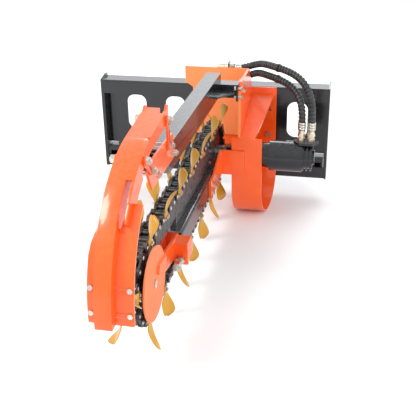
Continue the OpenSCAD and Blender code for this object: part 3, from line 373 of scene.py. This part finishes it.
# ---- Orange plates ----
# Welded steel plate, sprayed with a glossy orange coat.
# Edges are rubbed thin, and dust lies on what faces up.
def paint_group():
    """A sprayed coat: bare steel on worn edges, faded clouds, dust on what faces up."""
    group = bpy.data.node_groups.new("sprayed_coat", "ShaderNodeTree")
    for name, kind, value in (
            ("Paint", "NodeSocketColor", (0.8, 0.1, 0.02, 1)), ("Faded", "NodeSocketColor", (0.8, 0.3, 0.1, 1)),
            ("Bare", "NodeSocketColor", (0.1, 0.08, 0.07, 1)), ("Dust", "NodeSocketColor", (0.4, 0.36, 0.3, 1)),
            ("Wear", "NodeSocketFloat", 0.5), ("Dusty", "NodeSocketFloat", 0.3),
            ("Gloss", "NodeSocketFloat", 0.25)):
        socket = group.interface.new_socket(name=name, in_out="INPUT", socket_type=kind)
        socket.default_value = value
    for name, kind in (("Color", "NodeSocketColor"), ("Roughness", "NodeSocketFloat"),
                       ("Height", "NodeSocketFloat"), ("Coat", "NodeSocketFloat")):
        group.interface.new_socket(name=name, in_out="OUTPUT", socket_type=kind)
    given = add_node(group, "NodeGroupInput")
    put = add_node(group, "NodeGroupOutput")
    bevel = add_node(group, "ShaderNodeBevel", {"Radius": 0.0022}, samples=4)
    geometry = add_node(group, "ShaderNodeNewGeometry")
    dot = add_node(group, "ShaderNodeVectorMath", operation="DOT_PRODUCT")
    group.links.new(bevel.outputs["Normal"], dot.inputs[0])
    group.links.new(geometry.outputs["Normal"], dot.inputs[1])
    edge = spread(group, dot.outputs["Value"], 0.985, 0.80)
    patches = object_noise(group, 26, 8)
    broken = add_node(group, "ShaderNodeMath", operation="MULTIPLY_ADD", use_clamp=True)
    group.links.new(spread(group, patches, 0.47, 0.62), broken.inputs[0])
    group.links.new(edge, broken.inputs[1])
    broken.inputs[2].default_value = 0
    worn = add_node(group, "ShaderNodeMath", operation="MULTIPLY", use_clamp=True)
    group.links.new(broken.outputs[0], worn.inputs[0])
    group.links.new(given.outputs["Wear"], worn.inputs[1])
    clouds = object_noise(group, 5.5, 5)
    faded = mixed(group, spread(group, clouds, 0.35, 0.75, 0.0, 0.45),
                  given.outputs["Paint"], given.outputs["Faded"])
    up = add_node(group, "ShaderNodeSeparateXYZ")
    group.links.new(geometry.outputs["Normal"], up.inputs[0])
    lying = spread(group, up.outputs["Z"], 0.1, 0.95)
    specks = object_noise(group, 60, 7)
    dusty = add_node(group, "ShaderNodeMath", operation="MULTIPLY", use_clamp=True)
    group.links.new(lying, dusty.inputs[0])
    group.links.new(spread(group, specks, 0.35, 0.7), dusty.inputs[1])
    dust_share = add_node(group, "ShaderNodeMath", operation="MULTIPLY", use_clamp=True)
    group.links.new(dusty.outputs[0], dust_share.inputs[0])
    group.links.new(given.outputs["Dusty"], dust_share.inputs[1])
    dusted = mixed(group, dust_share.outputs[0], faded, given.outputs["Dust"])
    bared = mixed(group, worn.outputs[0], dusted, given.outputs["Bare"])
    group.links.new(bared, put.inputs["Color"])
    dull = add_node(group, "ShaderNodeMath", operation="MULTIPLY_ADD")
    group.links.new(dust_share.outputs[0], dull.inputs[0])
    dull.inputs[1].default_value = 0.4
    group.links.new(given.outputs["Gloss"], dull.inputs[2])
    streaks = add_node(group, "ShaderNodeMath", operation="MULTIPLY_ADD")
    group.links.new(specks, streaks.inputs[0])
    streaks.inputs[1].default_value = 0.10
    group.links.new(dull.outputs[0], streaks.inputs[2])
    group.links.new(streaks.outputs[0], put.inputs["Roughness"])
    peel = object_noise(group, 230, 2)
    height = add_node(group, "ShaderNodeMath", operation="SUBTRACT")
    group.links.new(peel, height.inputs[0])
    group.links.new(worn.outputs[0], height.inputs[1])
    group.links.new(height.outputs[0], put.inputs["Height"])
    coat = spread(group, dust_share.outputs[0], 0.0, 0.6, 0.55, 0.1)
    group.links.new(coat, put.inputs["Coat"])
    return group


sprayed_coat = paint_group()


def coated(name, paint, faded, bare, wear, dusty, gloss, coat=True, dust=(0.42, 0.38, 0.32), peel=0.09):
    material, tree, shader = start_material(name, Coat_Roughness=0.10, Specular_IOR_Level=0.35)
    coat_node = add_node(tree, "ShaderNodeGroup", node_tree=sprayed_coat)
    for socket, value in (("Paint", paint), ("Faded", faded), ("Bare", bare), ("Dust", dust)):
        coat_node.inputs[socket].default_value = (*value, 1)
    for socket, value in (("Wear", wear), ("Dusty", dusty), ("Gloss", gloss)):
        coat_node.inputs[socket].default_value = value
    tree.links.new(coat_node.outputs["Color"], shader.inputs["Base Color"])
    tree.links.new(coat_node.outputs["Roughness"], shader.inputs["Roughness"])
    if coat:
        tree.links.new(coat_node.outputs["Coat"], shader.inputs["Coat Weight"])
    bumped(tree, shader, coat_node.outputs["Height"], peel, 0.0008)
    return material


def finish_nodes(material, *names):
    for name in names:
        nodes[name].data.materials.clear()
        nodes[name].data.materials.append(material)


orange = coated("orange_paint", (0.90, 0.100, 0.004), (0.92, 0.135, 0.012), (0.30, 0.13, 0.07), 0.5, 0.10, 0.26)
finish_nodes(orange, "back_plate", "spoil_shield", "head_side_plate", "head_brace", "skid_band", "boom_bracket",
             "idler_fork", "crumber_bracket", "rear_link", "front_link", "crumber_arm", "crumber_shoe")
faded_orange = coated("faded_orange_paint", (0.80, 0.17, 0.045), (0.84, 0.27, 0.10), (0.22, 0.13, 0.09),
                      0.8, 0.3, 0.42, coat=False)
finish_nodes(faded_orange, "idler_cheek")

# ---- Black pieces ----
# The coupler frame, the boom and the beams are steel under a semi-gloss black coat.
# The shaft housing and the motor are cast, and wear the same coat.
black = coated("black_paint", (0.006, 0.007, 0.010), (0.012, 0.014, 0.018), (0.10, 0.085, 0.075),
               0.5, 0.14, 0.20, dust=(0.16, 0.16, 0.165))
finish_nodes(black, "coupler_face", "coupler_top_rail", "coupler_bottom_lip", "coupler_end_plates",
             "coupler_ribs", "lock_pockets", "coupler_holder", "beam_arm", "crumber_beam", "boom_tube",
             "shaft_housing", "motor_body", "motor_valve_end")

# ---- Painted highlights on plate edges ----
# Faces that look straight ahead, such as the side plate's front edge, get a paler copy of their paint: a
# painted highlight.
# The same goes for the front ends of the boom and the support beam, which get a painted grey highlight.
def recoat_faces(material, name, wanted):
    """Gives a second material to those faces of a CAD piece for which wanted(centre, normal) is true."""
    piece = nodes[name]
    piece.data.materials.append(material)
    slot_number = len(piece.data.materials) - 1
    world_turn = piece.matrix_world.to_3x3()
    for face in piece.data.polygons:
        if wanted(piece.matrix_world @ face.center, world_turn @ face.normal):
            face.material_index = slot_number


straight_ahead = -0.9
# Paler copies of the orange paint and the black paint: painted highlights for faces that look straight ahead.
orange_painted_highlight = coated("painted_highlight_orange", (0.90, 0.25, 0.07), (0.92, 0.34, 0.14), (0.24, 0.15, 0.1),
                   0.6, 0.1, 0.35, coat=False)
painted_highlight_grey = coated("painted_highlight_grey", (0.16, 0.165, 0.175), (0.22, 0.22, 0.22), (0.25, 0.22, 0.2),
                   0.6, 0.2, 0.4, coat=False)
for name, highlight_paint in (("head_side_plate", orange_painted_highlight), ("spoil_shield", orange_painted_highlight),
                        ("boom_tube", painted_highlight_grey), ("crumber_beam", painted_highlight_grey)):
    recoat_faces(highlight_paint, name, lambda centre, normal: normal.y < straight_ahead)

# ---- Chain ----
# Blackened links, with dark rollers and bright pin ends.
# The wheels that carry the chain, and the rails it slides on, are dark cast steel.
chain_black = coated("chain_black", (0.012, 0.012, 0.014), (0.03, 0.03, 0.033), (0.22, 0.21, 0.20),
                     0.9, 0.25, 0.34, coat=False)
for part in ("head", "nose", "upper", "lower"):
    finish_nodes(chain_black, part + "_chain_plates")


def bright_metal(name, color, dark, roughness, grain_scale=60):
    material, tree, shader = start_material(name, Metallic=1.0)
    grain = object_noise(tree, grain_scale, 6)
    tree.links.new(mixed(tree, spread(tree, grain, 0.35, 0.7), color, dark), shader.inputs["Base Color"])
    tree.links.new(spread(tree, grain, 0.3, 0.75, roughness, roughness + 0.18), shader.inputs["Roughness"])
    bumped(tree, shader, grain, 0.12, 0.0005)
    return material


steel = bright_metal("worn_steel", (0.52, 0.52, 0.53), (0.30, 0.28, 0.26), 0.26)
# A darker steel for the rollers, which sit between the plate rows.
dark_roller_metal = bright_metal("dark_roller_steel", (0.10, 0.10, 0.10), (0.03, 0.03, 0.03), 0.30)
chain_middle = 0.060
pin_end = 0.0285
for part in ("head", "nose", "upper", "lower"):
    finish_nodes(dark_roller_metal, part + "_chain_rollers")
    recoat_faces(steel, part + "_chain_rollers",
                 lambda centre, normal: abs(centre.x - chain_middle) > pin_end)
finish_nodes(steel, "drive_shaft")
cast = bright_metal("cast_steel", (0.16, 0.16, 0.17), (0.08, 0.075, 0.07), 0.42)
finish_nodes(cast, "drive_sprocket", "idler_wheel", "wear_rails")

# ---- Cutters ----
# Forged steel cutters under a golden yellow coat stand on the outer links, one right and the next left.
# Each has a flat foot with two bolts, and a blade that turns to face along the chain: two broad cups,
# then a narrow finger.
yellow = coated("cutter_yellow", (0.60, 0.29, 0.010), (0.50, 0.24, 0.018), (0.26, 0.20, 0.13),
                0.8, 0.08, 0.28, peel=0.16)
foot_low, foot_high, tip_reach = -0.008, 0.024, 0.100
foot_half = 0.0165
foot_rows = ((0, 0.0145), (0.003, foot_half), (0.016, foot_half))
foot_lap = 0.006
blade_thick = 0.0062
across_steps = 8
tip_curl = 0.010
early_turn = 0.6
edge_thinning, tip_thinning, thin_from = 0.45, 0.55, 0.6
weld_within = 0.00005
# Rows of a cutter's outline: share of the reach, width on either side of the middle
cup_rows = ((0, 0.0165, 0.0165), (0.08, 0.0158, 0.0156), (0.17, 0.018, 0.0165), (0.27, 0.0215, 0.019),
            (0.38, 0.0242, 0.0215), (0.5, 0.025, 0.0235), (0.62, 0.025, 0.0245), (0.74, 0.025, 0.0235),
            (0.85, 0.0248, 0.016), (0.94, 0.0235, 0.003), (1, 0.021, -0.009))
finger_rows = ((0, 0.0165, 0.0165), (0.08, 0.0155, 0.0155), (0.18, 0.0145, 0.0145), (0.3, 0.013, 0.0132),
               (0.45, 0.0118, 0.0122), (0.6, 0.0105, 0.0115), (0.75, 0.009, 0.011), (0.88, 0.0065, 0.010),
               (0.96, 0.004, 0.0085), (1.03, -0.001, 0.006))
# For a cup, then for a finger: rows, turn of the blade in degrees, lean away from the chain, hollow
cup_kind = (cup_rows, 64, 0.014, 0.005)
finger_kind = (finger_rows, 42, 0.026, 0.0015)


def islands(mesh_object, least_length=0.0):
    """Centre of each connected solid of a CAD piece that is long enough in X, in the room's frame."""
    work = bmesh.new()
    work.from_mesh(mesh_object.data)
    bmesh.ops.remove_doubles(work, verts=work.verts, dist=weld_within)
    work.verts.index_update()
    seen = set()
    centres = []
    for start in work.verts:
        if start.index in seen:
            continue
        seen.add(start.index)
        queue = [start]
        low = Vector((9, 9, 9))
        high = -low
        while queue:
            vert = queue.pop()
            place = mesh_object.matrix_world @ vert.co
            low = Vector(map(min, low, place))
            high = Vector(map(max, high, place))
            for edge in vert.link_edges:
                other = edge.other_vert(vert)
                if other.index not in seen:
                    seen.add(other.index)
                    queue.append(other)
        if high.x - low.x > least_length:
            centres.append((low + high) / 2)
    work.free()
    return centres


def add_cutter(work, base, outside, travel, out, kind):
    """One cutter as a closed sheet, from its flat foot to its turned tip."""
    rows, twist, lean, cup = kind
    strips = []
    profile = [(foot_low + height, half, half, 0.0, 0.0, 0.0) for height, half in foot_rows]
    start = foot_high - foot_lap
    for share, left, right in rows:
        angle = math.radians(twist) * min(share, 1) ** early_turn
        profile.append((start + share * (tip_reach - start), left, right, angle, lean * share * share, share))
    for height, left, right, angle, shift, share in profile:
        wide = travel * math.cos(angle) + outside * math.sin(angle)
        face = outside * math.cos(angle) - travel * math.sin(angle)
        front, back = [], []
        for k in range(across_steps + 1):
            u = -1 + 2 * k / across_steps
            place = base + out * height + outside * (shift + blade_thick / 2) + wide * (
                (left + right) / 2 * u + (right - left) / 2)
            place += face * (cup * u * u * min(share * 2, 1) + tip_curl * share * share)
            edge = 1 - edge_thinning * abs(u) ** 6
            thin = blade_thick / 2 * edge * (1 - tip_thinning * max(share - thin_from, 0) / (1 - thin_from))
            front.append(work.verts.new(place + face * thin))
            back.append(work.verts.new(place - face * thin))
        strips.append(front + back[::-1])
    count = len(strips[0])
    for first, second in zip(strips, strips[1:]):
        for k in range(count):
            work.faces.new((first[k], first[(k + 1) % count], second[(k + 1) % count], second[k]))
    work.faces.new(strips[0][::-1])
    work.faces.new(strips[-1])


cutter_seat = 0.0285
bolt_height = 0.003
same_side = 0.004
pair_reach = 0.035
crease_angle = 38
head_centre, nose_centre = ((Vector(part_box(name)[0]) + Vector(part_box(name)[1])) / 2
                            for name in ("drive_sprocket", "idler_wheel"))
chain_parts = (("head", "sprocket"), ("nose", "idler"), ("upper", "upper_run"), ("lower", "lower_run"))
number = 0
for part, body in chain_parts:
    bolts = islands(nodes[part + "_tooth_bolts"])
    work = bmesh.new()
    while bolts:
        bolt = bolts.pop(0)
        mates = [b for b in bolts if abs(b.x - bolt.x) < same_side and (b - bolt).length < pair_reach]
        mate = min(mates, key=lambda b: (b - bolt).length)
        bolts.remove(mate)
        middle = (bolt + mate) / 2
        direction = (mate - bolt).normalized()
        hub = Vector((middle.x, min(max(middle.y, nose_centre.y), head_centre.y), head_centre.z))
        out = middle - hub
        out -= direction * out.dot(direction)
        out.normalize()
        outside = Vector((1 if middle.x > chain_middle else -1, 0, 0))
        travel = out.cross(Vector((-1, 0, 0)))
        base = middle - out * bolt_height
        base.x = chain_middle + outside.x * cutter_seat
        add_cutter(work, base, outside, travel, out, finger_kind if number % 3 == 1 else cup_kind)
        number += 1
    cutters = new_object(part + "_cutters", closed_mesh(work, part + "_cutters"), yellow, body)
    crease = cutters.modifiers.new("crease", "EDGE_SPLIT")
    crease.split_angle = math.radians(crease_angle)
    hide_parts(part + "_teeth")

# ---- Pin heads of the chain ----
# Each pin is peened over on both sides into a small bright dome.
# The pins are told from the shorter bushes by their length.
dome_rows = ((0.0088, 0), (0.0086, 0.0012), (0.0074, 0.0026), (0.0048, 0.0036), (0.0018, 0.004))
dome_sides = 14
pin_least = 0.058
dome_seat = 0.0292
for part, body in chain_parts:
    work = bmesh.new()
    for place in islands(nodes[part + "_chain_rollers"], pin_least):
        for sign in (-1, 1):
            rings = []
            for radius, height in dome_rows:
                x = chain_middle + sign * (dome_seat + height)
                rings.append([work.verts.new((x, place.y + y, place.z + z))
                              for y, z in circle(radius, dome_sides)])
            for a, b in zip(rings, rings[1:]):
                for k in range(dome_sides):
                    work.faces.new((a[k], a[(k + 1) % dome_sides], b[(k + 1) % dome_sides], b[k]))
            work.faces.new(rings[0])
            work.faces.new(rings[-1])
    heads = new_object(part + "_pin_heads", closed_mesh(work, part + "_pin_heads", smooth=False), steel, body)

# ---- Rounded plate edges ----
# Cut steel edges are broken with a grinder before painting,
# so they catch a thin line of light.
edge_round = 0.0011
sharp_angle = 50
join_within = 0.00002
for name in ("crumber_arm", "crumber_shoe", "crumber_bracket", "back_plate", "spoil_shield", "head_side_plate",
             "head_brace", "boom_bracket", "skid_band", "boom_tube", "crumber_beam", "coupler_end_plates",
             "coupler_top_rail", "idler_fork", "rear_link", "front_link"):
    joined = nodes[name].modifiers.new("joined", "WELD")
    joined.merge_threshold = join_within
    rounded = nodes[name].modifiers.new("rounded", "BEVEL")
    rounded.width = edge_round
    rounded.segments = 2
    rounded.limit_method = "ANGLE"
    rounded.angle_limit = math.radians(sharp_angle)

# ---- Bolts, pins and fittings ----
# Zinc-plated steel, a little yellow where it has aged.
# The hose fittings and quick couplers are warmer, and the shoe's liner is plain dark rubber.
zinc = bright_metal("zinc_plate", (0.70, 0.69, 0.64), (0.50, 0.46, 0.38), 0.24, 110)
finish_nodes(zinc, "head_bolts", "head_tooth_bolts", "nose_tooth_bolts", "upper_tooth_bolts",
             "lower_tooth_bolts", "tension_screw", "tension_nuts", "bracket_bolts", "lower_pins", "upper_pins",
             "shoe_bolts", "idler_axle")
brass = bright_metal("plated_fitting", (0.74, 0.70, 0.58), (0.52, 0.46, 0.32), 0.26, 110)
finish_nodes(brass, "hose_fittings", "quick_couplers")
liner, tree, shader = start_material("shoe_liner_rubber", Roughness=0.7, Base_Color=(0.02, 0.02, 0.02, 1))
finish_nodes(liner, "shoe_liner")
